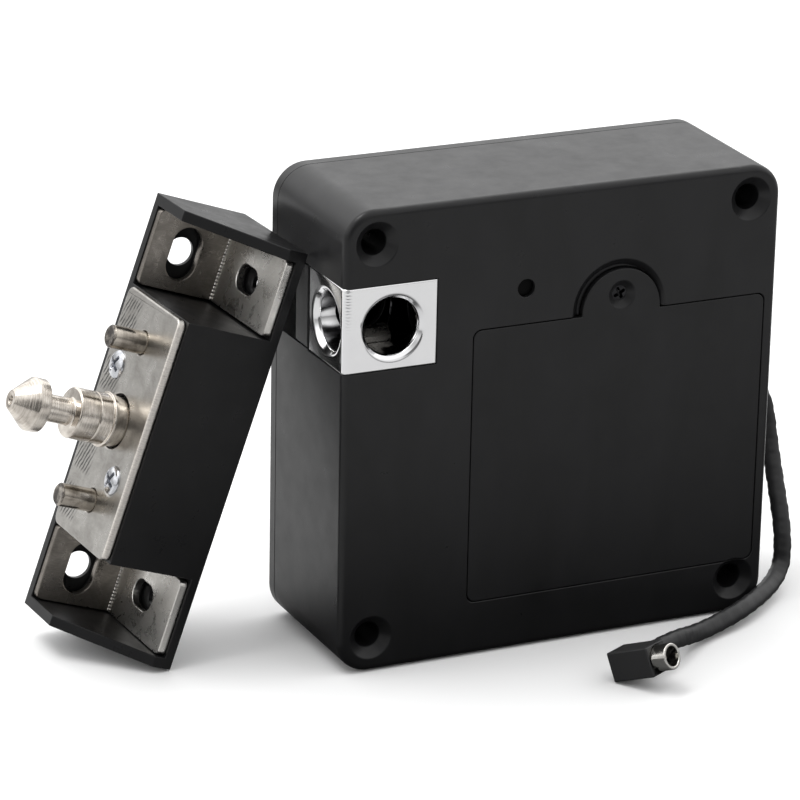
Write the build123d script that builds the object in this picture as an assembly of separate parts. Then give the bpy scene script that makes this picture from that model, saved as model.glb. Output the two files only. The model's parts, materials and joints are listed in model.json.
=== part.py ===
from build123d import *
import math
import os

os.makedirs("parts", exist_ok=True)

# All sizes in millimetres. The lock body stands upright on its lower edge.
# The origin is on the floor, under the middle of the lock body.
# Places are given as (from the left side, depth from the front face, height).

# Lock body
body_width = 83.0
body_depth = 30.3
body_height = 83.0
corner_radius = 6.0
back_cover_thickness = 2.9
side_draft = 0.41
front_edge_radius = 1.3
side_wall = 2.0
front_wall = 2.4
joint_gap = 0.15
back_edge_radius = 0.8

# Mounting holes through the corners
mount_hole_inset = 6.25
mount_hole_radius = 2.25
mount_sink_radius = 3.9
mount_boss_radius = 4.8

# Battery bay and its cover
cover_left = 24.3
cover_right = 80.4
cover_bottom = 9.7
cover_top = 59.4
cover_corner_radius = 1.5
cover_thickness = 1.4
bay_ledge = 1.2
bay_wall = 1.2
bay_floor_depth = 13.6
tab_centre_left = 52.35
tab_centre_height = 59.6
tab_radius = 7.6
tab_screw_height = 62.4
tab_boss_radius = 3.5
tab_boss_depth = 11.0
tab_scoop_width = 1.3
tab_scoop_depth = 1.0
cover_screw_head_radius = 2.4
cover_screw_radius = 1.1
cover_screw_length = 8.0

# Cells
cell_radius = 5.25
cell_length = 44.5
cell_pitch = 11.4
cell_count = 4
cell_tip_radius = 1.9
cell_tip_length = 0.9
cell_depth = 7.9

# Catch block with its two crossing sockets
catch_left = 0.3
catch_right = 17.5
catch_front = 0.0
catch_back = 14.3
catch_bottom = 54.4
catch_top = 69.45
catch_edge_radius = 1.3
catch_fit_gap = 0.05
socket_radius = 4.95
socket_mouth_radius = 5.85
socket_height = 61.8
front_socket_left = 9.4
side_socket_depth = 7.1
pocket_wall = 1.2
catch_screw_radius = 0.8
catch_screw_head_radius = 1.6
catch_screw_length = 4.5
catch_screw_height = 68.1
catch_screw_lefts = (4.2, 14.8)

# Latch
latch_left = 9.9
latch_depth = 8.9
latch_width = 5.0
latch_thickness = 3.0
latch_top = 59.1
latch_bevel = 1.2
latch_slide_gap = 0.1
carriage_left = (5.0, 15.0)
carriage_depth = (4.5, 13.5)
carriage_height = (40.0, 52.0)
carriage_wall = 1.2
latch_foot_bottom = 46.0
latch_foot_width = 7.0
latch_foot_thickness = 5.4
latch_spring_wire = 0.35
latch_spring_radius = 1.5
latch_spring_pocket_radius = 2.0
latch_spring_pocket_depth = 3.0
latch_spring_turns = 5

# Drive
drive_left = 18.5
drive_depth = 9.0
screw_radius = 1.5
screw_clearance = 0.05
screw_top = 52.5
screw_hub_radius = 2.5
screw_hub_height = (36.3, 38.3)
screw_stub_radius = 1.0
screw_stub_depth = 3.0
gearbox_width = 10.0
gearbox_height = (27.5, 36.0)
motor_radius = 5.0
motor_height = (12.6, 27.5)
motor_cap_radius = 4.2
motor_cap_height = (10.6, 12.6)
cradle_height = (16.0, 24.0)
cradle_gap = 0.05
clamp_screw_left = 8.6
clamp_screw_radius = 0.9
clamp_screw_head_radius = 1.9

# Circuit board
board_left = (26.0, 79.0)
board_height = (12.0, 72.0)
board_depth = 16.2
board_thickness = 1.2
standoff_radius = 2.0
board_screw_radius = 0.9
board_screw_head_radius = 1.7
board_screw_places = ((30.0, 20.0), (75.0, 20.0), (30.0, 54.0), (75.0, 54.0))

# Set button
button_left = 34.05
button_height = 65.75
button_radius = 1.5
button_hole_radius = 1.58
button_collar_radius = 2.42
button_guide_radius = 2.5
button_guide_outer_radius = 3.6

# Back cover fixings
back_screw_places = ((22.0, 4.5), (61.0, 4.5), (30.0, 78.3), (61.0, 78.3))
back_screw_radius = 1.1
back_screw_head_radius = 2.2
back_screw_length = 9.0
back_boss_radius = 2.6

# Lead with its jack
lead_radius = 1.3
lead_exit_depth = 23.3
lead_exit_height = 36.0
lead_last_run = 7.5
lead_corners = ((88.8, lead_exit_depth, lead_exit_height), (93.0, 23.3, 33.4), (94.9, 22.6, 29.0), (94.6, 20.0, 22.8),
                (93.4, 14.8, 16.4), (91.7, 8.4, 9.4), (90.35, 6.3, 2.35), (76.85, -5.45, 2.8), (64.8, -9.9, 1.6))
grommet_flange_radius = 3.0
grommet_neck_radius = 2.0
grommet_flange_thickness = 0.9
jack_length = 8.7
jack_width = 5.3
jack_turn = 28.0
jack_pitch = 22.0
jack_centre = (46.7, -21.6, 4.0)
jack_barrel_radius = 2.3
jack_bore_radius = 1.75
jack_barrel_length = 3.0
jack_pin_radius = 0.5
jack_recess_depth = 6.0

# Strike
strike_length = 75.8
strike_width = 24.9
strike_depth = 17.6
strike_tilt = 19.61
strike_turn = 2.61
strike_corner = (-26.4, 38.18, 0.0)
gusset_wall = 1.9
gusset_front = 11.2
gusset_lip = 3.5
strike_back_wall = 1.7
strike_base_wall = 1.6
plate_start = 16.4
plate_end = 59.8
plate_near = 24.2
plate_far = 3.4
plate_thickness = 1.4
plate_corner_radius = 1.6
hollow_wall = 1.8
pin_across = 13.8
pin_along = 38.2
pin_hole_radius = 4.75
pin_tip_radius = 1.65
pin_head_radius = 4.6
pin_neck_radius = 2.35
pin_collar_radius = 4.4
pin_lip_radius = 4.8
pin_base_radius = 3.6
pin_stations = (39.3, 35.75, 33.8, 28.05, 21.7, 21.0)
pin_stud_radius = 2.0
pin_nut_radius = 4.0
ejector_radius = 2.0
ejector_clearance = 0.08
ejector_reach = 6.3
ejector_offset = 14.3
ejector_flange_radius = 2.7
ejector_spring_radius = 2.2
ejector_spring_wire = 0.4
ejector_spring_turns = 5
plate_screw_head_radius = 2.5
plate_screw_radius = 1.2
plate_screw_length = 8.0
plate_screw_places = ((7.9, 46.7), (19.0, 29.3))
bracket_thickness = 1.4
bracket_width = 13.7
bracket_reach_up = 17.4
bracket_reach_near = 24.2
slot_up_centre = 10.6
slot_up_size = (9.4, 5.6)
slot_near_centre = 13.0
slot_near_size = (7.4, 4.7)

parting_depth = body_depth - back_cover_thickness
low_end = (Align.CENTER, Align.CENTER, Align.MIN)


def place(left, depth, height):
    return Vector(left - body_width / 2, depth - body_depth / 2, height)


def block(lefts, depths, heights):
    size = (lefts[1] - lefts[0], depths[1] - depths[0], heights[1] - heights[0])
    middle = place(sum(lefts) / 2, sum(depths) / 2, sum(heights) / 2)
    return Location(middle) * Box(*size)


def bar(start, end, radius, far_radius=None):
    # a round bar, or a cone, between two points
    run = end - start
    seat = Plane(origin=start, z_dir=run)
    if far_radius is None:
        return seat * Cylinder(radius, run.length, align=low_end)
    return seat * Cone(radius, far_radius, run.length, align=low_end)


def depth_bar(left, height, depths, radius, far_radius=None):
    return bar(place(left, depths[0], height), place(left, depths[1], height), radius, far_radius)


def upright_bar(left, depth, heights, radius, far_radius=None):
    return bar(place(left, depth, heights[0]), place(left, depth, heights[1]), radius, far_radius)


def side_bar(depth, height, lefts, radius, far_radius=None):
    return bar(place(lefts[0], depth, height), place(lefts[1], depth, height), radius, far_radius)


def coil(start, end, radius, wire, turns):
    # a spring whose turns stay inside the two end points, its wire an eight-sided rod
    run = end - start
    unit = run.normalized()
    length = run.length - 2 * wire
    helix = Helix(pitch=length / turns, height=length, radius=radius)
    section = Plane(origin=helix @ 0, z_dir=helix % 0) * RegularPolygon(wire, 8)
    spring = sweep(section, path=helix, is_frenet=True)
    seat = Plane(origin=start + unit * wire, z_dir=unit)
    return seat.location * spring


def cross_recess(seat, radius, depth):
    # the cross-shaped driver recess in a screw head
    arm = Box(radius * 1.5, radius * 0.34, depth * 2)
    return seat.location * (arm + arm.rotate(Axis.Z, 90))


def outline_plane(depth, facing):
    origin = place(body_width / 2, depth, body_height / 2)
    turn = 1 if facing < 0 else -1
    return Plane(origin=origin, x_dir=(turn, 0, 0), z_dir=(0, facing, 0))


def body_block(inset, front_depth):
    # the rounded outline, drawn in towards the front except along the level underside
    slices = []
    for depth in (parting_depth, front_depth):
        draft = side_draft * (parting_depth - depth) / parting_depth
        width = body_width - 2 * inset - 2 * draft
        height = body_height - 2 * inset - draft
        plane = outline_plane(depth, -1)
        sketch = Location((0, -draft / 2, 0)) * RectangleRounded(width, height, corner_radius - inset - draft)
        slices.append(plane * sketch)
    return loft(slices, ruled=True)


def corner_places():
    near = mount_hole_inset
    far = body_width - mount_hole_inset
    return ((near, near), (far, near), (near, far), (far, far))


def corner_sinks():
    # the holes with their sunk mouths, cut from every piece they pass
    cut = []
    for left, height in corner_places():
        sink = mount_sink_radius - mount_hole_radius
        cut.append(depth_bar(left, height, (-1.0, body_depth + 1.0), mount_hole_radius))
        cut.append(depth_bar(left, height, (0.0, sink), mount_sink_radius, mount_hole_radius))
    return cut


def cover_outline(gap, depths):
    left = cover_left + gap
    right = cover_right - gap
    bottom = cover_bottom + gap
    top = cover_top - gap
    plane = Plane(origin=place((left + right) / 2, depths[1], (bottom + top) / 2),
                  x_dir=(1, 0, 0), z_dir=(0, -1, 0))
    plate = extrude(plane * RectangleRounded(right - left, top - bottom, cover_corner_radius),
                    amount=depths[1] - depths[0])
    tab = depth_bar(tab_centre_left, tab_centre_height, depths, tab_radius - gap)
    return plate + tab


def cell_heights():
    middle = (cover_bottom + cover_top) / 2
    first = middle - cell_pitch * (cell_count - 1) / 2
    return [first + cell_pitch * i for i in range(cell_count)]


def catch_box(gap):
    return block((catch_left - 2.0, catch_right + gap), (-2.0, catch_back + gap),
                 (catch_bottom - gap, catch_top + gap))


def latch_slot():
    gap = latch_slide_gap
    return block((latch_left - latch_width / 2 - gap, latch_left + latch_width / 2 + gap),
                 (latch_depth - latch_thickness / 2 - gap, latch_depth + latch_thickness / 2 + gap),
                 (catch_bottom - 3 * pocket_wall, socket_height))


def tongue_ranges(gap):
    lefts = (-1.0, side_wall + gap)
    depths = (catch_back + gap, parting_depth + 1.0)
    heights = (catch_bottom + 0.4 - gap, catch_top + gap)
    return lefts, depths, heights


def make_main_shell():
    shell = body_block(0.0, 0.0)
    front = shell.faces().sort_by(Axis.Y)[0]
    shell = fillet(front.edges(), front_edge_radius)
    shell -= body_block(side_wall, front_wall)
    inner = (front_wall - 0.2, parting_depth)
    adds = [depth_bar(left, height, inner, mount_boss_radius) for left, height in corner_places()]
    for left, height in back_screw_places:
        adds.append(depth_bar(left, height, inner, back_boss_radius))
    bay_lefts = (cover_left, body_width - side_wall)
    bay_heights = (cover_bottom + 0.2, cover_top)
    adds.append(block(bay_lefts, (front_wall - 0.2, bay_floor_depth + bay_wall), bay_heights))
    adds.append(block((side_wall - 1.0, catch_right + pocket_wall), (front_wall - 0.2, catch_back + pocket_wall),
                      (catch_bottom - pocket_wall, catch_top + pocket_wall)))
    adds.append(depth_bar(tab_centre_left, tab_screw_height, (cover_thickness, tab_boss_depth), tab_boss_radius))
    adds.append(depth_bar(button_left, button_height, (front_wall - 0.2, 8.0), button_guide_outer_radius))
    adds.append(block((11.5, cover_left + 0.2), (front_wall - 0.2, drive_depth), cradle_height))
    adds.append(depth_bar(clamp_screw_left, sum(cradle_height) / 2, (front_wall - 0.2, 13.8), 2.5))
    for left, height in board_screw_places:
        adds.append(depth_bar(left, height, (bay_floor_depth, board_depth), standoff_radius))
    shell = shell + adds
    cuts = corner_sinks()
    cuts.append(cover_outline(0.0, (-1.0, cover_thickness + 0.05)))
    ledge = bay_ledge
    cuts.append(block((cover_left + ledge, cover_right - ledge), (0.0, bay_floor_depth),
                      (cover_bottom + ledge + 0.2, cover_top - ledge)))
    scoop_radius = tab_radius + tab_scoop_width
    cuts.append(depth_bar(tab_centre_left - 0.5, tab_centre_height + 0.4, (-0.02, tab_scoop_depth),
                          scoop_radius, tab_radius + 0.1))
    cuts.append(depth_bar(tab_centre_left, tab_screw_height, (0.0, cover_screw_length + 1.0),
                          cover_screw_radius - 0.05))
    cuts.append(catch_box(catch_fit_gap))
    cuts.append(depth_bar(front_socket_left, socket_height, (catch_back, 21.0), socket_radius + 0.1))
    cuts.append(side_bar(side_socket_depth, socket_height, (catch_right - 1.0, 23.0), socket_radius + 0.1))
    cuts.append(latch_slot())
    for left in catch_screw_lefts:
        cuts.append(depth_bar(left, catch_screw_height, (catch_back, 20.0), catch_screw_radius + 0.1))
    cuts.append(block(*tongue_ranges(joint_gap)))
    cuts.append(depth_bar(button_left, button_height, (-1.0, 5.0), button_hole_radius))
    cuts.append(depth_bar(button_left, button_height, (front_wall, 9.0), button_guide_radius))
    cuts.append(upright_bar(drive_left, drive_depth, (10.0, 40.0), motor_radius + cradle_gap))
    cuts.append(depth_bar(clamp_screw_left, sum(cradle_height) / 2, (6.0, 14.0), clamp_screw_radius - 0.05))
    for left, height in board_screw_places:
        cuts.append(depth_bar(left, height, (bay_floor_depth + 0.4, board_depth + 1.0), board_screw_radius - 0.05))
    for left, height in back_screw_places:
        cuts.append(depth_bar(left, height, (parting_depth - back_screw_length, parting_depth + 1.0),
                              back_screw_radius - 0.05))
    cuts.append(side_bar(lead_exit_depth, lead_exit_height, (body_width - 4.0, body_width + 1.0),
                         grommet_neck_radius + 0.05))
    return shell - cuts


def make_back_cover():
    plane = outline_plane(parting_depth, 1)
    sketch = plane * RectangleRounded(body_width, body_height, corner_radius)
    cover = extrude(sketch, amount=back_cover_thickness)
    rim = cover.faces().sort_by(Axis.Y)[-1]
    cover = fillet(rim.edges(), back_edge_radius)
    lefts, depths, heights = tongue_ranges(0.0)
    tongue = block((0.12, lefts[1] - 0.05), (depths[0] + joint_gap, parting_depth),
                   (heights[0] + 0.05, heights[1] - 0.05))
    cover += tongue
    reach = 1.2
    ridge_near = mount_hole_inset + mount_boss_radius + 0.6
    ridge_far = body_width - ridge_near
    inner = side_wall + 0.15
    outer = body_width - inner
    thick = 1.2
    ridges = [block((ridge_near, ridge_far), (parting_depth - reach, parting_depth), (outer - thick, outer)),
              block((ridge_near, ridge_far), (parting_depth - reach, parting_depth), (inner, inner + thick)),
              block((outer - thick, outer), (parting_depth - reach, parting_depth), (ridge_near, ridge_far)),
              block((inner, inner + thick), (parting_depth - reach, parting_depth),
                    (ridge_near, catch_bottom - 2.0))]
    cover = cover + ridges
    cuts = corner_sinks()
    for left, height in back_screw_places:
        head = back_screw_head_radius - back_screw_radius
        cuts.append(depth_bar(left, height, (parting_depth - 2.0, body_depth), back_screw_radius + 0.15))
        cuts.append(depth_bar(left, height, (body_depth - head, body_depth), back_screw_radius,
                              back_screw_head_radius + 0.05))
        cuts.append(depth_bar(left, height, (parting_depth - 2.0, parting_depth), back_boss_radius + 0.2))
    return cover - cuts


def sunk_screw(mouth, inward, head_radius, radius, length):
    # a flat-headed screw whose head is flush with its mouth
    head_depth = head_radius - radius
    shank = bar(mouth, mouth + inward * length, radius)
    head = bar(mouth, mouth + inward * head_depth, head_radius, radius)
    tip = bar(mouth + inward * length, mouth + inward * (length + radius), radius, 0.2)
    seat = Plane(origin=mouth, z_dir=inward)
    return shank + head + tip - cross_recess(seat, head_radius, head_depth * 0.7)


def pan_screw(seat_point, inward, head_radius, radius, length):
    # a round-headed screw whose head stands on its seat
    head_height = head_radius * 0.6
    top = seat_point - inward * head_height
    head = bar(top, seat_point, head_radius)
    head = fillet(head.faces().sort_by_distance(top)[0].edges(), head_height * 0.45)
    shank = bar(seat_point, seat_point + inward * length, radius)
    seat = Plane(origin=top, z_dir=inward)
    return head + shank - cross_recess(seat, head_radius, head_height * 0.5)


def make_back_screws():
    inward = Vector(0, -1, 0)
    screws = []
    for left, height in back_screw_places:
        mouth = place(left, body_depth, height)
        screws.append(sunk_screw(mouth, inward, back_screw_head_radius, back_screw_radius - 0.05,
                                 back_screw_length))
    return Compound(children=screws)


def make_battery_cover():
    cover = cover_outline(joint_gap, (0.0, cover_thickness))
    cuts = corner_sinks()
    cuts.append(depth_bar(tab_centre_left, tab_screw_height, (-1.0, 4.0), cover_screw_radius + 0.15))
    cuts.append(depth_bar(tab_centre_left, tab_screw_height, (0.0, 1.2), cover_screw_head_radius + 0.15,
                          cover_screw_radius + 0.15))
    return cover - cuts


def make_battery_cover_screw():
    mouth = place(tab_centre_left, 0.15, tab_screw_height)
    return sunk_screw(mouth, Vector(0, 1, 0), cover_screw_head_radius - 0.1, cover_screw_radius - 0.05,
                      cover_screw_length - 1.0)


def make_catch_block():
    solid = block((catch_left, catch_right), (catch_front, catch_back), (catch_bottom, catch_top))
    corner = solid.edges().filter_by(Axis.Z).sort_by(Axis.X)[0:2].sort_by(Axis.Y)[0]
    solid = fillet(corner, catch_edge_radius)
    chamfer_run = socket_mouth_radius - socket_radius
    cuts = [depth_bar(front_socket_left, socket_height, (-1.0, catch_back + 1.0), socket_radius),
            depth_bar(front_socket_left, socket_height, (0.0, chamfer_run), socket_mouth_radius, socket_radius),
            side_bar(side_socket_depth, socket_height, (-1.0, catch_right + 1.0), socket_radius),
            side_bar(side_socket_depth, socket_height, (catch_left, catch_left + chamfer_run),
                     socket_mouth_radius, socket_radius),
            latch_slot()]
    for left in catch_screw_lefts:
        cuts.append(depth_bar(left, catch_screw_height, (catch_back - catch_screw_length - 0.5, catch_back + 1.0),
                              catch_screw_radius + 0.02))
    return solid - cuts


def make_catch_screws():
    screws = []
    for left in catch_screw_lefts:
        seat_point = place(left, catch_back + pocket_wall, catch_screw_height)
        screws.append(pan_screw(seat_point, Vector(0, -1, 0), catch_screw_head_radius, catch_screw_radius,
                                catch_screw_length + pocket_wall))
    return Compound(children=screws)


def make_latch_bolt():
    half_width = latch_width / 2
    half_thick = latch_thickness / 2
    foot_top = carriage_height[1] - carriage_wall
    shank = block((latch_left - half_width, latch_left + half_width),
                  (latch_depth - half_thick, latch_depth + half_thick), (foot_top - 0.5, latch_top))
    top = shank.faces().sort_by(Axis.Z)[-1]
    bevels = [top.edges().filter_by(Axis.X).sort_by(Axis.Y)[0], top.edges().filter_by(Axis.Y).sort_by(Axis.X)[0]]
    shank = chamfer(bevels, latch_bevel)
    foot = block((latch_left - latch_foot_width / 2, latch_left + latch_foot_width / 2),
                 (latch_depth - latch_foot_thickness / 2, latch_depth + latch_foot_thickness / 2),
                 (latch_foot_bottom, foot_top - 0.05))
    pocket = upright_bar(latch_left, latch_depth,
                         (latch_foot_bottom - 1.0, latch_foot_bottom + latch_spring_pocket_depth),
                         latch_spring_pocket_radius)
    return shank + foot - pocket


def make_latch_carriage():
    cage = block(carriage_left, carriage_depth, carriage_height)
    wall = carriage_wall
    inside = block((carriage_left[0] + wall, carriage_left[1] - wall), (carriage_depth[0] - 1.0, carriage_depth[1] - wall),
                   (carriage_height[0] + wall, carriage_height[1] - wall))
    lug = block((carriage_left[1] - 0.5, 21.8), (5.7, 12.3), (42.0, 47.0))
    nut_hole = upright_bar(drive_left, drive_depth, (38.0, 50.0), screw_radius + screw_clearance)
    gap = latch_slide_gap
    window = block((latch_left - latch_width / 2 - gap, latch_left + latch_width / 2 + gap),
                   (latch_depth - latch_thickness / 2 - gap, latch_depth + latch_thickness / 2 + gap),
                   (carriage_height[1] - 2 * wall, carriage_height[1] + 1.0))
    return cage - inside + lug - nut_hole - window


def make_latch_spring():
    bottom = place(latch_left, latch_depth, carriage_height[0] + carriage_wall + 0.02)
    top = place(latch_left, latch_depth, latch_foot_bottom + latch_spring_pocket_depth - 0.02)
    return coil(bottom, top, latch_spring_radius, latch_spring_wire, latch_spring_turns)


def make_drive_screw():
    shaft = upright_bar(drive_left, drive_depth, (screw_hub_height[0], screw_top), screw_radius)
    hub = upright_bar(drive_left, drive_depth, screw_hub_height, screw_hub_radius)
    stub = upright_bar(drive_left, drive_depth, (gearbox_height[1] - screw_stub_depth, screw_hub_height[0]),
                       screw_stub_radius)
    tip = chamfer((shaft + hub).edges().sort_by(Axis.Z)[-1], 0.4)
    return tip + stub


def make_gearbox():
    half = gearbox_width / 2
    box = block((drive_left - half, drive_left + half), (drive_depth - half, drive_depth + half), gearbox_height)
    box = chamfer(box.edges().filter_by(Axis.Z), 0.8)
    bearing = upright_bar(drive_left, drive_depth, (gearbox_height[1] - screw_stub_depth - 0.2, gearbox_height[1] + 1.0),
                          screw_stub_radius + screw_clearance)
    return box - bearing


def make_motor_can():
    can = upright_bar(drive_left, drive_depth, motor_height, motor_radius)
    lower = can.edges().sort_by(Axis.Z)[0]
    return fillet(lower, 0.6)


def make_motor_cap():
    cap = upright_bar(drive_left, drive_depth, motor_cap_height, motor_cap_radius)
    shaft_end = upright_bar(drive_left, drive_depth, (motor_cap_height[0] - 0.8, motor_cap_height[0]), 1.2)
    return cap + shaft_end


def make_motor_clamp():
    saddle = block((11.5, cover_left - 0.1), (drive_depth + 0.1, 15.3), cradle_height)
    ear = block((5.8, 11.7), (13.85, 15.3), cradle_height)
    hole = depth_bar(clamp_screw_left, sum(cradle_height) / 2, (10.0, 18.0), clamp_screw_radius + 0.15)
    bed = upright_bar(drive_left, drive_depth, (10.0, 40.0), motor_radius + cradle_gap)
    return saddle + ear - hole - bed


def make_clamp_screw():
    seat_point = place(clamp_screw_left, 15.3, sum(cradle_height) / 2)
    return pan_screw(seat_point, Vector(0, -1, 0), clamp_screw_head_radius, clamp_screw_radius - 0.05, 7.0)


def make_circuit_board():
    board = block(board_left, (board_depth, board_depth + board_thickness), board_height)
    board = fillet(board.edges().filter_by(Axis.Y), 1.5)
    cuts = [depth_bar(left, height, (board_depth - 1.0, board_depth + 3.0), board_screw_radius + 0.15)
            for left, height in board_screw_places]
    return board - cuts


def make_board_screws():
    screws = []
    for left, height in board_screw_places:
        seat_point = place(left, board_depth + board_thickness, height)
        screws.append(pan_screw(seat_point, Vector(0, -1, 0), board_screw_head_radius,
                                board_screw_radius - 0.05, 3.2))
    return Compound(children=screws)


def make_controller_chip():
    start = board_depth + board_thickness
    return block((44.0, 52.0), (start, start + 1.4), (40.0, 48.0))


def make_reader_chip():
    start = board_depth + board_thickness
    return block((60.0, 65.0), (start, start + 1.0), (44.0, 49.0))


def make_capacitor():
    start = board_depth + board_thickness
    return depth_bar(38.0, 30.0, (start, start + 6.0), 3.0)


def make_buzzer():
    start = board_depth + board_thickness
    body = depth_bar(67.0, 64.0, (start, start + 4.2), 4.5)
    port = depth_bar(67.0, 64.0, (start + 2.5, start + 5.0), 0.9)
    return body - port


def make_set_switch():
    body = block((button_left - 3.0, button_left + 3.0), (12.65, board_depth), (button_height - 3.0, button_height + 3.0))
    return chamfer(body.edges().filter_by(Axis.Y), 0.4)


def make_set_button():
    stem = depth_bar(button_left, button_height, (0.9, 12.1), button_radius)
    flange = depth_bar(button_left, button_height, (front_wall + 0.05, front_wall + 0.9), button_collar_radius)
    guide = depth_bar(button_left, button_height, (6.0, 7.2), button_collar_radius)
    return stem + flange + guide


def make_antenna_coil():
    low, high, width = 19.0, 64.0, 4.5
    ring = block((low, high), (parting_depth - 0.7, parting_depth - 0.02), (low, high))
    ring = fillet(ring.edges().filter_by(Axis.Y), 6.0)
    hole = block((low + width, high - width), (parting_depth - 2.0, parting_depth + 1.0), (low + width, high - width))
    hole = fillet(hole.edges().filter_by(Axis.Y), 3.0)
    return ring - hole


def cell_span():
    middle = (cover_left + cover_right) / 2
    return middle - cell_length / 2, middle + cell_length / 2


def make_cell(index):
    low, high = cell_span()
    height = cell_heights()[index]
    body = side_bar(cell_depth, height, (low, high - cell_tip_length), cell_radius)
    body = fillet(body.edges().filter_by(GeomType.CIRCLE), 0.5)
    tip = side_bar(cell_depth, height, (high - cell_tip_length, high), cell_tip_radius)
    cell = body + tip
    if index % 2:
        pivot = Axis(place((low + high) / 2, cell_depth, height), (0, 0, 1))
        cell = cell.rotate(pivot, 180)
    return cell


def make_cell_springs():
    # one coil at each cell's flat end
    low, high = cell_span()
    wall_low = cover_left + bay_ledge + 0.5
    wall_high = cover_right - bay_ledge - 0.5
    coils = []
    for index, height in enumerate(cell_heights()):
        if index % 2:
            start = place(wall_high, cell_depth, height)
            end = place(high + 0.03, cell_depth, height)
        else:
            start = place(wall_low, cell_depth, height)
            end = place(low - 0.03, cell_depth, height)
        coils.append(coil(start, end, 2.6, 0.3, 4))
    return Compound(children=coils)


def make_cell_plates():
    # plain contact plates with a raised boss that meets each cell's tip
    low, high = cell_span()
    wall_low = cover_left + bay_ledge
    wall_high = cover_right - bay_ledge
    plates = []
    for index, height in enumerate(cell_heights()):
        for side in (0, 1):
            edge = (wall_low + 0.02, wall_low + 0.45) if side == 0 else (wall_high - 0.45, wall_high - 0.02)
            plates.append(block(edge, (4.2, 11.6), (height - 4.4, height + 4.4)))
        if index % 2:
            plates.append(side_bar(cell_depth, height, (wall_low + 0.4, low - 0.03), 2.4))
        else:
            plates.append(side_bar(cell_depth, height, (high + 0.03, wall_high - 0.4), 2.4))
    merged = plates[0].fuse(*plates[1:])
    return Compound(children=list(merged.solids()))


def make_lead_grommet():
    outer = body_width - 0.02
    flange = side_bar(lead_exit_depth, lead_exit_height, (outer, outer + grommet_flange_thickness),
                      grommet_flange_radius)
    flange = fillet(flange.edges().sort_by(Axis.X)[-1], 0.35)
    neck = side_bar(lead_exit_depth, lead_exit_height, (body_width - side_wall - 0.3, outer + 0.1),
                    grommet_neck_radius)
    inner = side_bar(lead_exit_depth, lead_exit_height, (body_width - side_wall - 1.2, body_width - side_wall - 0.25),
                     grommet_flange_radius - 0.3)
    return flange + neck + inner


def jack_frame():
    turn = math.radians(jack_turn)
    lean = math.radians(jack_pitch)
    across = Vector(math.cos(turn), math.sin(turn), 0)
    level = Vector(math.sin(turn), -math.cos(turn), 0)
    out = level * math.cos(lean) + Vector(0, 0, 1) * math.sin(lean)
    centre = place(*jack_centre)
    return Plane(origin=centre, x_dir=across, z_dir=out)


def make_jack_body():
    solid = Box(jack_width, jack_width, jack_length)
    solid = fillet(solid.edges(), 0.3)
    front = jack_length / 2
    recess = Location((0, 0, front - 0.5)) * Cylinder(jack_barrel_radius + 0.02, 2.0)
    bore = Location((0, 0, front + 1.0 - (jack_recess_depth + 1.0) / 2)) * Cylinder(
        jack_bore_radius, jack_recess_depth + 1.0)
    return jack_frame().location * (solid - recess - bore)


def make_jack_barrel():
    front = jack_length / 2
    start = front - 1.48
    length = jack_barrel_length + front - start
    tube = Location((0, 0, start)) * Cylinder(jack_barrel_radius, length, align=low_end)
    tube = fillet(tube.edges().sort_by(Axis.Z)[-1], 0.2)
    bore = Location((0, 0, start - 1.0)) * Cylinder(jack_bore_radius, length + 2.0, align=low_end)
    return jack_frame().location * (tube - bore)


def make_jack_pin():
    start = jack_length / 2 - jack_recess_depth
    length = jack_recess_depth + jack_barrel_length - 1.5
    pin = Location((0, 0, start)) * Cylinder(jack_pin_radius, length, align=low_end)
    pin = fillet(pin.edges().sort_by(Axis.Z)[-1], 0.25)
    return jack_frame().location * pin


def lead_points():
    # corner points from the grommet to the jack, with the jack's entry in its own frame
    start = place(body_width - 0.02 + grommet_flange_thickness, lead_exit_depth, lead_exit_height)
    points = [start]
    points += [place(*corner) for corner in lead_corners]
    frame = jack_frame()
    end = frame.from_local_coords(Vector(jack_width / 2 + 0.01, 0.6, 0.5))
    points += [end + frame.x_dir * lead_last_run, end]
    return points


def make_lead():
    points = lead_points()
    radii = []
    for before, here, after in zip(points, points[1:], points[2:]):
        come = here - before
        go = after - here
        turn = math.radians(come.get_angle(go))
        radii.append(0.45 * min(come.length, go.length) / math.tan(turn / 2))
    path = FilletPolyline(*points, radius=radii)
    section = Plane(origin=points[0], z_dir=points[1] - points[0]) * Circle(lead_radius)
    tube = sweep(section, path=path)
    expected = math.pi * lead_radius ** 2 * path.length
    print("lead radii in mm:", [round(radius, 1) for radius in radii])
    print("lead length", round(path.length, 2), "volume", round(tube.volume, 2), "section x length", round(expected, 2))
    print("lead points in m:", [tuple(round(value / 1000, 6) for value in tuple(point)) for point in points])
    return tube


def strike_frame():
    tilt = math.radians(strike_tilt)
    turn = math.radians(strike_turn)
    out = Vector(-math.cos(tilt) * math.cos(turn), -math.cos(tilt) * math.sin(turn), math.sin(tilt))
    up = Vector(math.sin(tilt) * math.cos(turn), math.sin(tilt) * math.sin(turn), math.cos(tilt))
    return Plane(origin=place(*strike_corner), x_dir=out, z_dir=up)


def strike_box(outs, nears, ups):
    size = (outs[1] - outs[0], nears[1] - nears[0], ups[1] - ups[0])
    return Location((sum(outs) / 2, sum(nears) / 2, sum(ups) / 2)) * Box(*size)


def strike_bar(near, up, outs, radius, far_radius=None):
    return bar(Vector(outs[0], near, up), Vector(outs[1], near, up), radius, far_radius)


def in_place(shape):
    return strike_frame().location * shape


def pocket_ups():
    lower = (gusset_wall, plate_start)
    upper = (plate_end, strike_length - gusset_wall)
    return lower, upper


def bracket_ups():
    lower = (gusset_wall + 0.1, gusset_wall + 0.1 + bracket_width)
    upper = (strike_length - gusset_wall - 0.1 - bracket_width, strike_length - gusset_wall - 0.1)
    return lower, upper


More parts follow.
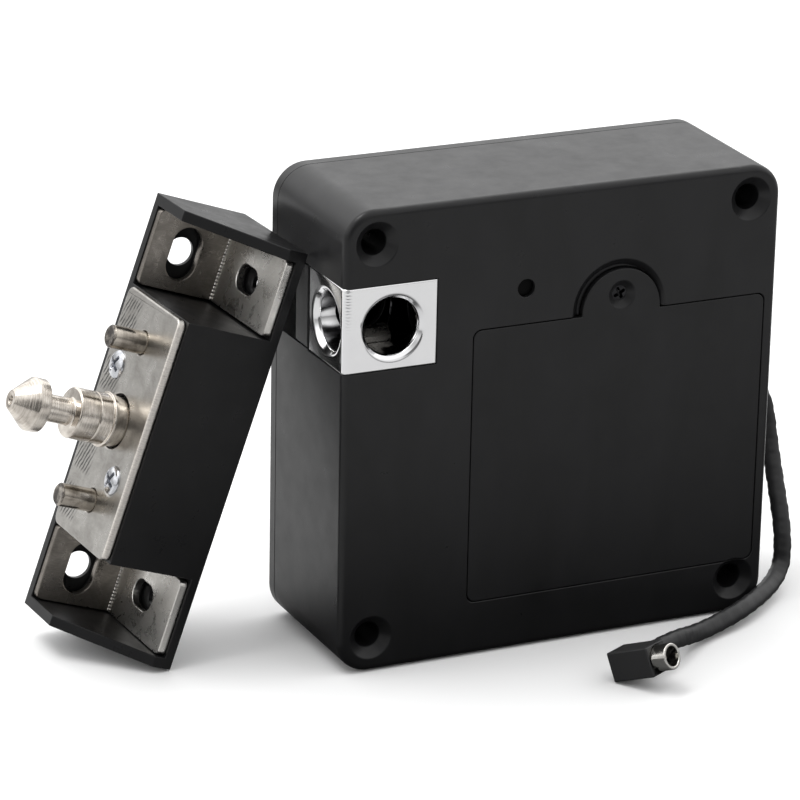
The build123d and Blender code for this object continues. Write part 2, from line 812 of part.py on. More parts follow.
def ejector_places():
    return (pin_along + ejector_offset, pin_along - ejector_offset)


def make_strike_housing():
    profile = Polyline((0, 0), (strike_depth, 0), (strike_depth, gusset_front), (gusset_lip, strike_width),
                       (0, strike_width), close=True)
    solid = extrude(make_face(profile), amount=strike_length)
    middle = strike_box((0, strike_depth), (0, strike_width), (plate_start, plate_end))
    solid = solid + middle
    cuts = []
    for ups in pocket_ups():
        cuts.append(strike_box((strike_base_wall, strike_depth + 1), (strike_back_wall, strike_width + 1), ups))
    base = hollow_wall
    cuts.append(strike_box((-1.0, strike_depth - 3.2), (base, strike_width - base),
                           (plate_start + base, plate_end - base)))
    cuts.append(strike_bar(pin_across, pin_along, (0, strike_depth + 1), pin_base_radius + 0.1))
    for up in ejector_places():
        cuts.append(strike_bar(pin_across, up, (strike_depth - 4.0, strike_depth + 1), ejector_flange_radius + 0.3))
    for near, up in plate_screw_places:
        cuts.append(strike_bar(near, up, (5.0, strike_depth + 1), plate_screw_radius - 0.05))
    adds = [strike_bar(near, up, (8.0, strike_depth - 3.0), 2.6) for near, up in plate_screw_places]
    for up in ejector_places():
        adds.append(strike_bar(pin_across, up, (4.0, strike_depth - 3.0), ejector_flange_radius + 1.4))
    for ups in bracket_ups():
        middle_up = sum(ups) / 2
        long_side, wide_side = slot_up_size
        cuts.append(slot_shape(Plane(origin=(slot_up_centre, 3, middle_up), x_dir=(0, 0, 1), z_dir=(0, -1, 0)),
                               long_side, wide_side, 6.0))
        long_side, wide_side = slot_near_size
        cuts.append(slot_shape(Plane(origin=(3, slot_near_centre, middle_up), x_dir=(0, 1, 0), z_dir=(-1, 0, 0)),
                               long_side, wide_side, 6.0))
    shells = solid - cuts[:3]
    full = shells + adds
    cavities = cuts[3:]
    for up in ejector_places():
        cavities.append(strike_bar(pin_across, up, (5.2, strike_depth + 1), ejector_flange_radius + 0.3))
    return in_place(full - cavities)


def slot_shape(plane, long_side, wide_side, depth):
    face = plane * SlotOverall(long_side, wide_side)
    return extrude(face, amount=depth)


def make_strike_plate():
    outs = (strike_depth, strike_depth + plate_thickness)
    plate = strike_box(outs, (plate_far, plate_near), (plate_start, plate_end))
    plate = fillet(plate.edges().filter_by(Axis.X), plate_corner_radius)
    cuts = [strike_bar(pin_across - 0.4, pin_along, (0, 40), pin_hole_radius)]
    for up in ejector_places():
        cuts.append(strike_bar(pin_across, up, (0, 40), ejector_radius + ejector_clearance))
    for near, up in plate_screw_places:
        cuts.append(strike_bar(near, up, (0, 40), plate_screw_radius + 0.2))
        sink = plate_screw_head_radius - plate_screw_radius
        cuts.append(strike_bar(near, up, (outs[1] - sink, outs[1]), plate_screw_radius + 0.1,
                               plate_screw_head_radius + 0.1))
    return in_place(plate - cuts)


def make_strike_pin():
    tip, cone_end, head_end, neck_end, collar_end, lip_end = pin_stations
    points = ((tip, 0), (tip, pin_tip_radius), (cone_end, pin_head_radius), (head_end, pin_head_radius),
              (head_end, pin_neck_radius), (neck_end, pin_neck_radius), (neck_end, pin_collar_radius),
              (collar_end, pin_collar_radius), (collar_end, pin_lip_radius), (lip_end, pin_lip_radius),
              (lip_end, pin_base_radius), (strike_depth - 4.4, pin_base_radius),
              (strike_depth - 4.4, pin_stud_radius), (6.5, pin_stud_radius), (6.5, 0))
    outline = make_face(Polyline(*points, close=True))
    turned = revolve(outline, axis=Axis.X)
    return in_place(Location((0, pin_across, pin_along)) * turned)


def make_strike_pin_nut():
    hexagon = Plane(origin=(7.6, pin_across, pin_along), z_dir=(1, 0, 0)) * RegularPolygon(pin_nut_radius, 6)
    nut = extrude(hexagon, amount=strike_depth - 4.42 - 7.6)
    washer = strike_bar(pin_across, pin_along, (6.8, 7.6), pin_nut_radius + 0.6)
    hole = strike_bar(pin_across, pin_along, (6.0, 16.0), pin_stud_radius)
    return in_place(nut + washer - hole)


def make_ejector_pin(up):
    face = strike_depth + plate_thickness
    shaft = strike_bar(pin_across, up, (strike_depth - 0.3, face + ejector_reach), ejector_radius)
    shaft = fillet(shaft.edges().sort_by(Axis.X)[-1], 0.25)
    flange = strike_bar(pin_across, up, (strike_depth - 1.5, strike_depth - 0.05), ejector_flange_radius)
    return in_place(shaft + flange)


def make_ejector_spring(up):
    start = Vector(5.25, pin_across, up)
    end = Vector(strike_depth - 1.55, pin_across, up)
    return in_place(coil(start, end, ejector_spring_radius, ejector_spring_wire, ejector_spring_turns))


def make_plate_screw(index):
    near, up = plate_screw_places[index]
    face = strike_depth + plate_thickness
    return in_place(sunk_screw(Vector(face, near, up), Vector(-1, 0, 0), plate_screw_head_radius - 0.05,
                               plate_screw_radius - 0.05, plate_screw_length))


def make_corner_bracket(index):
    ups = bracket_ups()[index]
    inner = strike_base_wall
    outer = strike_back_wall
    thick = bracket_thickness
    upright = strike_box((inner + 0.02, bracket_reach_up), (outer + 0.02, outer + thick), ups)
    flat = strike_box((inner + 0.02, inner + thick), (outer + 0.02, bracket_reach_near), ups)
    leaf = upright + flat
    ends = leaf.edges().filter_by(Axis.Y).group_by(Axis.X)[-1]
    leaf = fillet(ends, 1.0)
    ends = leaf.edges().filter_by(Axis.X).group_by(Axis.Y)[-1]
    leaf = fillet(ends, 1.0)
    middle_up = sum(ups) / 2
    cuts = [slot_shape(Plane(origin=(slot_up_centre, 6, middle_up), x_dir=(0, 0, 1), z_dir=(0, -1, 0)),
                       slot_up_size[0], slot_up_size[1], 8.0),
            slot_shape(Plane(origin=(6, slot_near_centre, middle_up), x_dir=(0, 1, 0), z_dir=(-1, 0, 0)),
                       slot_near_size[0], slot_near_size[1], 8.0)]
    return in_place(leaf - cuts)


def hand_out(shape, node):
    solids = shape.solids()
    volume = sum(solid.volume for solid in solids)
    print(node, "solids", len(solids), "volume", round(volume, 2), "valid", shape.is_valid)
    export_step(shape, f"parts/{node}.step")


pieces = {
    "main_shell": make_main_shell,
    "back_cover": make_back_cover,
    "back_cover_screws": make_back_screws,
    "battery_cover": make_battery_cover,
    "battery_cover_screw": make_battery_cover_screw,
    "catch_block": make_catch_block,
    "catch_block_screws": make_catch_screws,
    "latch_bolt": make_latch_bolt,
    "latch_carriage": make_latch_carriage,
    "latch_spring": make_latch_spring,
    "drive_screw": make_drive_screw,
    "gearbox": make_gearbox,
    "motor_can": make_motor_can,
    "motor_cap": make_motor_cap,
    "motor_clamp": make_motor_clamp,
    "motor_clamp_screw": make_clamp_screw,
    "circuit_board": make_circuit_board,
    "board_screws": make_board_screws,
    "controller_chip": make_controller_chip,
    "reader_chip": make_reader_chip,
    "capacitor": make_capacitor,
    "buzzer": make_buzzer,
    "set_switch": make_set_switch,
    "set_button": make_set_button,
    "antenna_coil": make_antenna_coil,
    "cell_springs": make_cell_springs,
    "cell_plates": make_cell_plates,
    "lead_grommet": make_lead_grommet,
    "lead": make_lead,
    "jack_body": make_jack_body,
    "jack_barrel": make_jack_barrel,
    "jack_pin": make_jack_pin,
    "strike_housing": make_strike_housing,
    "strike_plate": make_strike_plate,
    "strike_pin": make_strike_pin,
    "strike_pin_nut": make_strike_pin_nut,
}

for node, maker in pieces.items():
    hand_out(maker(), node)

for number in range(cell_count):
    hand_out(make_cell(number), f"cell_{number + 1}")

for side, up_place in zip(("upper", "lower"), ejector_places()):
    hand_out(make_ejector_pin(up_place), f"ejector_pin_{side}")
    hand_out(make_ejector_spring(up_place), f"ejector_spring_{side}")

for number, side in enumerate(("upper", "lower")):
    hand_out(make_plate_screw(number), f"plate_screw_{side}")

for number, side in enumerate(("lower", "upper")):
    hand_out(make_corner_bracket(number), f"corner_bracket_{side}")
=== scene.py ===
import json
import math

import bmesh
import bpy
import numpy as np
from mathutils import Matrix, Vector


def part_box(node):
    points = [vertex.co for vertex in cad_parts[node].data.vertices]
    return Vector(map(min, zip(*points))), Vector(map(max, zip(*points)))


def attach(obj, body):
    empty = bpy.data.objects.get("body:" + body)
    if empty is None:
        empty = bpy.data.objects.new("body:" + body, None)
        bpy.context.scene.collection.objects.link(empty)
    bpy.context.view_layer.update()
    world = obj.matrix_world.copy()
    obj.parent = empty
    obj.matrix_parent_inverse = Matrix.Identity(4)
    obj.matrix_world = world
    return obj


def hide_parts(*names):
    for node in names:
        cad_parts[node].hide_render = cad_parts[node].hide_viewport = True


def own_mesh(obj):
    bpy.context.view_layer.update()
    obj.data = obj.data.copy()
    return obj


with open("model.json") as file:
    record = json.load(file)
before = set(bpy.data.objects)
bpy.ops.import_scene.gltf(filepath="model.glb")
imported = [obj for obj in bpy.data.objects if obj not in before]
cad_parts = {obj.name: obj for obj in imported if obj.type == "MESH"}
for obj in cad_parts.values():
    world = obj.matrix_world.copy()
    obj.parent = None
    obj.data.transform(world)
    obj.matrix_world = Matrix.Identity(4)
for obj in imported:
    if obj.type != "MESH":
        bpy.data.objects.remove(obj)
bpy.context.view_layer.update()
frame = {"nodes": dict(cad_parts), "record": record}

print("stage: frame loaded,", len(frame["nodes"]), "nodes")

# the leaning strike has its own three directions: out of its plate, towards the viewer, along its length
strikeCorner = np.array((-0.0679, 0.02303, 0.0))
strikeOut = np.array((-0.9410217, -0.04289612, 0.33561598))
strikeNear = np.array((0.04553734, -0.99896264, 0.0))
strikeUp = np.array((0.33526783, 0.01528306, 0.94199889))


def strikePlace(out, near, up):
    # millimetres in the strike's own directions to metres in the shared frame
    return strikeCorner + (out * strikeOut + near * strikeNear + up * strikeUp) / 1000


# the viewer: lens and sensor in millimetres, the eye and the clipping range in metres
cameraLook = {"lens": 187.315, "sensor": 36.0, "eye": (-0.30852, -0.61027, 0.28704), "near": 0.01, "far": 20}

viewRight = Vector((0.90878309, -0.41684285, 0.01885032))
viewDown = Vector((-0.1260668, -0.31734895, -0.93989191))
viewForward = Vector((0.39776935, 0.85178148, -0.34095141))


def linked(name, data):
    # a new object for this data, put in the scene
    thing = bpy.data.objects.new(name, data)
    bpy.context.scene.collection.objects.link(thing)
    return thing


def makeCamera(look):
    data = bpy.data.cameras.new("studioCamera")
    data.lens = look["lens"]
    data.sensor_width = look["sensor"]
    data.clip_start = look["near"]
    data.clip_end = look["far"]
    camera = linked("studioCamera", data)
    turn = Matrix((viewRight, -viewDown, -viewForward)).transposed()
    camera.matrix_world = Matrix.Translation(Vector(look["eye"])) @ turn.to_4x4()
    bpy.context.scene.camera = camera


makeCamera(cameraLook)

# welding distances in metres, angles in degrees
meshLook = {"weld": 1e-7, "solidWeld": 2e-6, "flat": 0.6, "sharp": 35.0}


def smoothed(mesh, sharpAngle):
    # every face smooth, edges sharper than this angle kept crisp
    mesh.polygons.foreach_set("use_smooth", np.ones(len(mesh.polygons), bool))
    mesh.set_sharp_from_angle(angle=math.radians(sharpAngle))


def meshPiece(name, points, faces, body, sharpAngle=meshLook["sharp"]):
    mesh = bpy.data.meshes.new(name)
    mesh.from_pydata(np.asarray(points, float).tolist(), [], np.asarray(faces).tolist())
    work = bmesh.new()
    work.from_mesh(mesh)
    bmesh.ops.remove_doubles(work, verts=work.verts, dist=meshLook["weld"])
    bmesh.ops.recalc_face_normals(work, faces=work.faces)
    work.to_mesh(mesh)
    work.free()
    smoothed(mesh, sharpAngle)
    piece = linked(name, mesh)
    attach(piece, body)
    return piece


def gridFaces(rows, columns, ringRows=False):
    # four corners for each cell of a grid whose columns close on themselves
    row = np.arange(rows if ringRows else rows - 1)[:, None]
    column = np.arange(columns)[None, :]
    nextRow = (row + 1) % rows
    nextColumn = (column + 1) % columns
    corners = (row * columns + column, row * columns + nextColumn,
               nextRow * columns + nextColumn, nextRow * columns + column)
    return np.stack([np.broadcast_to(c, (len(row), columns)).ravel() for c in corners], axis=1)


def softCorners(profile, radius, steps=4, share=0.4):
    # each corner is swapped for a short quadratic curve that starts and ends `radius` from it
    profile = np.asarray(profile, float)
    kept = [profile[:1]]
    before, corner, after = profile[:-2], profile[1:-1], profile[2:]
    for a, b, c in zip(before, corner, after):
        lengthIn, lengthOut = np.linalg.norm(a - b), np.linalg.norm(c - b)
        reach = min(radius, share * lengthIn, share * lengthOut)
        start, end = b + (a - b) / lengthIn * reach, b + (c - b) / lengthOut * reach
        t = np.linspace(0, 1, steps)[:, None]
        kept.append((1 - t) ** 2 * start + 2 * t * (1 - t) * b + t ** 2 * end)
    kept.append(profile[-1:])
    return np.concatenate(kept)


def turnedPiece(name, profile, base, axis, body, cornerRound, steps):
    # surface of revolution: (radius, height) pairs in millimetres carried round the axis
    axis = np.asarray(axis, float) / np.linalg.norm(axis)
    side = np.cross(axis, (0.0, 0.0, 1.0))
    side /= np.linalg.norm(side)
    other = np.cross(axis, side)
    line = softCorners(profile, cornerRound) / 1000
    angle = np.linspace(0, 2 * np.pi, steps, endpoint=False)
    spoke = np.cos(angle)[:, None] * side + np.sin(angle)[:, None] * other
    points = np.asarray(base) + line[:, 0, None, None] * spoke[None] + line[:, 1, None, None] * axis
    return meshPiece(name, points.reshape(-1, 3), gridFaces(len(line), steps), body)


def refinedNode(name, node, body, bevel, segments=2):
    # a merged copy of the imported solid, its flat facets joined, its edges broken by a small round
    mesh = frame["nodes"][node].data.copy()
    work = bmesh.new()
    work.from_mesh(mesh)
    bmesh.ops.remove_doubles(work, verts=work.verts, dist=meshLook["solidWeld"])
    bmesh.ops.dissolve_limit(work, angle_limit=math.radians(meshLook["flat"]), verts=work.verts,
                             edges=work.edges)
    work.to_mesh(mesh)
    work.free()
    if mesh.has_custom_normals:
        mesh.attributes.remove(mesh.attributes["custom_normal"])
    smoothed(mesh, meshLook["sharp"])
    mesh.materials.clear()
    piece = linked(name, mesh)
    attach(piece, body)
    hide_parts(node)
    if bevel:
        edge = piece.modifiers.new("edgeRound", "BEVEL")
        edge.width = bevel / 1000
        edge.segments = segments
        edge.limit_method = "ANGLE"
        edge.angle_limit = math.radians(meshLook["sharp"])
        edge.use_clamp_overlap = False
        edge.harden_normals = False
    weights = piece.modifiers.new("faceWeights", "WEIGHTED_NORMAL")
    weights.keep_sharp = True
    return piece


def newFinish(name, metallic=0.0):
    finish = bpy.data.materials.new(name)
    finish.use_nodes = True
    tree = finish.node_tree
    tree.nodes.clear()
    shader = tree.nodes.new("ShaderNodeBsdfPrincipled")
    end = tree.nodes.new("ShaderNodeOutputMaterial")
    tree.links.new(shader.outputs["BSDF"], end.inputs["Surface"])
    shader.inputs["Metallic"].default_value = metallic
    return finish, tree, shader


def addNode(tree, kind, settings=(), inputs=()):
    node = tree.nodes.new("ShaderNode" + kind)
    for key, value in dict(settings).items():
        setattr(node, key, value)
    for key, value in dict(inputs).items():
        if isinstance(value, bpy.types.NodeSocket):
            tree.links.new(value, node.inputs[key])
        else:
            node.inputs[key].default_value = value
    return node


def objectPoint(tree):
    return addNode(tree, "TexCoord").outputs["Object"]


def ownPoint(tree, origin, directions):
    # the point measured from `origin` along three directions of the piece itself
    moved = addNode(tree, "VectorMath", {"operation": "SUBTRACT"}, {0: objectPoint(tree), 1: tuple(origin)})
    parts = [addNode(tree, "VectorMath", {"operation": "DOT_PRODUCT"},
                     {0: moved.outputs["Vector"], 1: tuple(d)}).outputs["Value"] for d in directions]
    return addNode(tree, "CombineXYZ", (), dict(zip("XYZ", parts))).outputs["Vector"]


def stretched(tree, point, factors):
    return addNode(tree, "VectorMath", {"operation": "MULTIPLY"}, {0: point, 1: factors}).outputs["Vector"]


def partsOf(tree, point):
    return addNode(tree, "SeparateXYZ", (), {"Vector": point}).outputs


def noise(tree, point, scale, detail, rough, distortion=0.0):
    node = addNode(tree, "TexNoise", (), {"Vector": point, "Scale": scale, "Detail": detail,
                                          "Roughness": rough, "Distortion": distortion})
    return node.outputs["Fac"]


def spread(tree, value, fromLow, fromHigh, toLow, toHigh, smooth=False):
    node = addNode(tree, "MapRange", {"interpolation_type": "SMOOTHSTEP" if smooth else "LINEAR"},
                   {"Value": value, "From Min": fromLow, "From Max": fromHigh,
                    "To Min": toLow, "To Max": toHigh})
    return node.outputs["Result"]


def ramp(tree, value, zeroAt, oneAt):
    # 0 at the first value, 1 at the second, eased at both ends
    return spread(tree, value, zeroAt, oneAt, 0.0, 1.0, True)


def mathOf(tree, kind, *values):
    return addNode(tree, "Math", {"operation": kind}, dict(enumerate(values))).outputs["Value"]


def productOf(tree, first, *others):
    for other in others:
        first = mathOf(tree, "MULTIPLY", first, other)
    return first


def mixColour(tree, factor, a, b):
    node = addNode(tree, "Mix", {"data_type": "RGBA"})
    for index, value in ((0, factor), (6, a), (7, b)):
        if isinstance(value, bpy.types.NodeSocket):
            tree.links.new(value, node.inputs[index])
        else:
            node.inputs[index].default_value = (*value, 1.0)
    return node.outputs[2]


def bumpFrom(tree, height, distance, strength=1.0, under=None):
    inputs = {"Height": height, "Distance": distance, "Strength": strength}
    if under is not None:
        inputs["Normal"] = under
    return addNode(tree, "Bump", (), inputs).outputs["Normal"]


# grain, flow and handled are a noise's size in repeats a metre, detail, grit and warp; heights are metres;
# "rough" runs from its first value to its second
plasticLook = {"colour": (0.0095, 0.0095, 0.01), "worn": (0.0135, 0.0135, 0.0145), "rough": (0.27, 0.36),
               "ior": 1.36, "grain": (5200.0, 2.0, 0.6), "grainHeight": 0.000003, "grainStrength": 0.8,
               "flow": (90.0, 4.0, 0.55, 0.6), "flowStretch": (1.0, 1.0, 0.45), "flowSpan": (0.35, 0.7),
               "flowHeight": 0.00006, "flowStrength": 0.25, "handled": (260.0, 5.0, 0.6),
               "handledSpan": (0.3, 0.7)}


def mouldedPlastic(name, **changes):
    # noise three times: fine spark-eroded grain in the bump, slow flow marks that mix the two tints,
    # and a middling one that spreads the roughness as handling does
    look = dict(plasticLook, **changes)
    finish, tree, shader = newFinish(name)
    point = objectPoint(tree)
    grain = noise(tree, point, *look["grain"])
    flow = noise(tree, stretched(tree, point, look["flowStretch"]), *look["flow"])
    handled = noise(tree, point, *look["handled"])
    shade = mixColour(tree, spread(tree, flow, *look["flowSpan"], 0.0, 1.0), look["colour"], look["worn"])
    tree.links.new(shade, shader.inputs["Base Color"])
    tree.links.new(spread(tree, handled, *look["handledSpan"], *look["rough"]), shader.inputs["Roughness"])
    shader.inputs["IOR"].default_value = look["ior"]
    slow = bumpFrom(tree, flow, look["flowHeight"], look["flowStrength"])
    tree.links.new(bumpFrom(tree, grain, look["grainHeight"], look["grainStrength"], slow),
                   shader.inputs["Normal"])
    return finish


# "clouds" are a noise's size, detail, grit and warp; their share of the tone is out of 1
metalLook = {"colour": (0.62, 0.6, 0.56), "dark": (0.36, 0.34, 0.31), "rough": (0.34, 0.2),
             "roughSpan": (0.3, 0.7), "streak": (1.0, 1.0, 14.0), "streakSize": 700.0, "streakDetail": 3.0,
             "streakGrit": 0.65, "streakSpan": (0.3, 0.7), "streakHeight": 0.000006, "streakStrength": 0.7,
             "clouds": (320.0, 6.0, 0.62, 0.5), "cloudSpan": (0.3, 0.72), "cloudShare": 0.62}
evenStreak = (1.0, 1.0, 1.0)


def cloudsAndStreaks(tree, point, look):
    # tone from 0 to 1: the clouds' noise spread over their share plus the squeezed streaks' over the rest
    streak = noise(tree, stretched(tree, point, look["streak"]), look["streakSize"], look["streakDetail"],
                   look["streakGrit"])
    cloud = noise(tree, point, *look["clouds"])
    tone = mathOf(tree, "ADD", spread(tree, cloud, *look["cloudSpan"], 0.0, look["cloudShare"]),
                  spread(tree, streak, *look["streakSpan"], 0.0, 1.0 - look["cloudShare"]))
    return streak, cloud, tone


def joinMetal(tree, shader, look, shade, cloud, height, addedRough=None):
    # colour, roughness that follows the clouds, and bump
    tree.links.new(shade, shader.inputs["Base Color"])
    rough = spread(tree, cloud, *look["roughSpan"], *look["rough"])
    if addedRough is not None:
        rough = mathOf(tree, "ADD", rough, addedRough)
    tree.links.new(rough, shader.inputs["Roughness"])
    tree.links.new(bumpFrom(tree, height, look["streakHeight"], look["streakStrength"]),
                   shader.inputs["Normal"])


def workedMetal(name, origin=(0, 0, 0), directions=((1, 0, 0), (0, 1, 0), (0, 0, 1)), **changes):
    # brushed or drawn metal: streaks squeezed along one direction, cloudy tarnish over them
    look = dict(metalLook, **changes)
    finish, tree, shader = newFinish(name, 1.0)
    streak, cloud, tone = cloudsAndStreaks(tree, ownPoint(tree, origin, directions), look)
    joinMetal(tree, shader, look, mixColour(tree, tone, look["dark"], look["colour"]), cloud, streak)
    return finish


def paintNode(node, finish):
    frame["nodes"][node].data.materials.clear()
    frame["nodes"][node].data.materials.append(finish)


def dress(piece, finish):
    piece.data.materials.clear()
    piece.data.materials.append(finish)
    return piece


strikeAxes = (tuple(strikeOut), tuple(strikeNear), tuple(strikeUp))
shellBlack = mouldedPlastic("shellBlack")
coverBlack = mouldedPlastic("coverBlack", rough=(0.34, 0.44))
strikeBlack = mouldedPlastic("strikeBlack", rough=(0.26, 0.38), ior=1.31, colour=(0.0065, 0.0065, 0.007),
                             worn=(0.009, 0.009, 0.0095))
jackBlack = mouldedPlastic("jackBlack", rough=(0.3, 0.42), colour=(0.03, 0.03, 0.031),
                           worn=(0.036, 0.036, 0.037))
buttonBlack = mouldedPlastic("buttonBlack", rough=(0.4, 0.5), ior=1.15, colour=(0.002, 0.002, 0.002),
                             worn=(0.003, 0.003, 0.003))
rubberBlack = mouldedPlastic("rubberBlack", rough=(0.5, 0.65), ior=1.4)
chipBlack = mouldedPlastic("chipBlack", colour=(0.02, 0.02, 0.022), rough=(0.4, 0.55))

# metres: rippleEnd, rippleStart and boreX past the left face, rippleDepth and boreY behind the front one
# bore is the colour of the painted shade inside the bores
catchLook = {"face": (0.86, 0.86, 0.865), "dull": (0.81, 0.81, 0.82), "ripple": (0.1, 0.1, 0.11),
             "bore": (0.05, 0.05, 0.052), "edgeX": -0.0412, "frontY": -0.01515,
             "clouds": (150.0, 3.0, 0.5), "dullSpan": (0.35, 0.65), "wobble": (900.0, 2.0, 0.5),
             "wobbleSwing": 9.0, "ripplePace": 11440.0,
             "rippleEnd": (0.00175, 0.0004), "rippleStart": (0.0002, 0.0008), "rippleUp": (0.0605, 0.0693),
             "rippleDepth": (0.0006, 0.0001), "rippleCrest": (-0.3, 0.7), "boreY": (0.0010, 0.0042),
             "boreX": (0.0022, 0.0062), "rough": (0.09, 0.15), "roughSpan": (0.3, 0.7),
             "streakHeight": 0.000002, "streakStrength": 0.5}


def makeCatchFinish(look):
    # polished plating; dark ripples on the rounded edge are a sine of the height, times ramps that keep it
    # to its column; painted shade darkens the bores past their mouths, by a ramp of depth times one of width
    finish, tree, shader = newFinish("catchSatin", 1.0)
    point = objectPoint(tree)
    x, y, z = partsOf(tree, point)
    cloud = noise(tree, point, *look["clouds"])
    plain = mixColour(tree, spread(tree, cloud, *look["dullSpan"], 0.0, 1.0), look["dull"], look["face"])
    wobble = noise(tree, point, *look["wobble"])
    phase = mathOf(tree, "ADD", productOf(tree, z, look["ripplePace"]),
                   productOf(tree, wobble, look["wobbleSwing"]))
    edge, face = look["edgeX"], look["frontY"]
    ripple = productOf(tree, ramp(tree, x, *(edge + d for d in look["rippleEnd"])),
                       ramp(tree, x, *(edge + d for d in look["rippleStart"])),
                       ramp(tree, z, *look["rippleUp"]),
                       ramp(tree, y, *(face + d for d in look["rippleDepth"])),
                       ramp(tree, mathOf(tree, "SINE", phase), *look["rippleCrest"]))
    # painted shade inside the bores, near black past their mouths
    boreShade = productOf(tree, ramp(tree, y, *(face + d for d in look["boreY"])),
                     ramp(tree, x, *(edge + d for d in look["boreX"])))
    shade = mixColour(tree, boreShade, mixColour(tree, ripple, plain, look["ripple"]), look["bore"])
    joinMetal(tree, shader, look, shade, cloud, wobble)
    return finish


catchSatin = makeCatchFinish(catchLook)

# "clusters", "strokeStep": millimetres; strokeEnd, strokeStart and rimEdge: metres towards the viewer
# rim is a painted highlight on the strip on the viewer's side, made patchy by the fine noise
plateLook = dict(metalLook, colour=(0.52, 0.505, 0.478), dark=(0.27, 0.257, 0.238),
                 stroke=(0.09, 0.087, 0.083), rim=(0.82, 0.78, 0.73), rough=(0.36, 0.24),
                 streak=(1.0, 1.0, 6.0), streakSize=900.0, streakGrit=0.6, streakHeight=0.00003,
                 streakStrength=0.9, clouds=(210.0, 6.0, 0.62, 0.6), cloudSpan=(0.32, 0.7), cloudShare=0.75,
                 clusters=(55.5, 44.5, 30.0, 21.5), clusterEdge=(0.0034, 0.0022), strokeStep=0.95,
                 strokeSlant=-0.42, strokeCrest=(-0.1, 0.6), strokeEnd=(0.0110, 0.0090),
                 strokeStart=(0.0036, 0.0046), wobble=(600.0, 2.0, 0.5), wobbleSwing=5.0,
                 patches=(420.0, 2.0, 0.5), patchSpan=(0.3, 0.5, 0.1, 1.0), rimEdge=(0.0236, 0.0240),
                 rimHighlightPatches=(0.3, 0.6, 0.55, 1.0), rimRough=0.25, fineShare=0.25)


def makePlateFinish(look):
    # clouded nickel with a painted highlight, patchy and rougher, on the strip on the viewer's side; the
    # slanting scuffs on the far side are a sine of the place across the slant, times ramps round each
    # cluster and a patchy noise
    finish, tree, shader = newFinish("plateNickel", 1.0)
    point = ownPoint(tree, strikeCorner, strikeAxes)
    near, up = partsOf(tree, point)[1:]
    fine, cloud, tone = cloudsAndStreaks(tree, point, look)
    shade = mixColour(tree, tone, look["dark"], look["colour"])
    slant = mathOf(tree, "ADD", near, productOf(tree, up, look["strokeSlant"]))
    wobble = productOf(tree, noise(tree, point, *look["wobble"]), look["wobbleSwing"])
    phase = mathOf(tree, "ADD", productOf(tree, slant, 2000 * math.pi / look["strokeStep"]), wobble)
    bands = 0.0
    for middle in look["clusters"]:
        away = mathOf(tree, "ABSOLUTE", mathOf(tree, "SUBTRACT", up, middle / 1000))
        bands = mathOf(tree, "MAXIMUM", bands, ramp(tree, away, *look["clusterEdge"]))
    patchy = spread(tree, noise(tree, point, *look["patches"]), *look["patchSpan"], True)
    scuffed = productOf(tree, ramp(tree, mathOf(tree, "SINE", phase), *look["strokeCrest"]), bands,
                        ramp(tree, near, *look["strokeEnd"]), ramp(tree, near, *look["strokeStart"]), patchy)
    # painted highlight on the strip on the viewer's side
    rim = productOf(tree, ramp(tree, near, *look["rimEdge"]), spread(tree, fine, *look["rimHighlightPatches"]))
    shade = mixColour(tree, rim, mixColour(tree, scuffed, shade, look["stroke"]), look["rim"])
    height = mathOf(tree, "SUBTRACT", productOf(tree, fine, look["fineShare"]), scuffed)
    joinMetal(tree, shader, look, shade, cloud, height, productOf(tree, rim, look["rimRough"]))
    return finish


plateNickel = makePlateFinish(plateLook)

# "fold" is where leaf turns into foot, metres towards the viewer
# the leaf's two tones are painted shade, the foot's brighter two are painted light
bracketLook = dict(metalLook, colour=(0.33, 0.3, 0.27), dark=(0.13, 0.117, 0.1), foot=(0.96, 0.94, 0.9),
                   litFootLow=(0.68, 0.66, 0.62), fold=(0.003, 0.0036), streak=(1.0, 1.0, 9.0),
                   cloudShare=0.66, rough=(0.36, 0.22), streakHeight=0.000008)


def makeBracketFinish(look):
    # rolled steel: one tone of clouds and streaks, with painted shade making the leaf dark and brownish and
    # painted light making the foot that carries the plate near white, changed over by a ramp at the fold
    finish, tree, shader = newFinish("bracketSteel", 1.0)
    point = ownPoint(tree, strikeCorner, strikeAxes)
    foot = ramp(tree, partsOf(tree, point)[1], *look["fold"])
    streak, cloud, tone = cloudsAndStreaks(tree, point, look)
    # painted shade on the leaf, painted light on the foot
    shadedLeaf = mixColour(tree, tone, look["dark"], look["colour"])
    litFoot = mixColour(tree, tone, look["litFootLow"], look["foot"])
    joinMetal(tree, shader, look, mixColour(tree, foot, shadedLeaf, litFoot), cloud, streak)
    return finish


bracketSteel = makeBracketFinish(bracketLook)
pinNickel = workedMetal("pinNickel", strikeCorner, strikeAxes, colour=(0.95, 0.89, 0.81),
                        dark=(0.25, 0.215, 0.18), rough=(0.2, 0.1), streak=(14.0, 0.4, 0.4),
                        streakSize=430.0, streakHeight=0.00005)

# "endFace" is where the side turns into the end face, metres out of the strike's corner
tipLook = dict(metalLook, colour=(0.6, 0.55, 0.48), dark=(0.2, 0.175, 0.148), end=(0.07, 0.062, 0.056),
               endFace=(0.0249, 0.02508), endToneSpan=(0.45, 0.8), rough=(0.14, 0.26),
               streak=(1.0, 0.2, 0.2), streakSize=520.0, streakGrit=0.6, streakSpan=(0.35, 0.65),
               streakHeight=0.00002, streakStrength=0.6, clouds=(700.0, 4.0, 0.6, 0.0),
               cloudSpan=(0.3, 0.7), cloudShare=0.4)


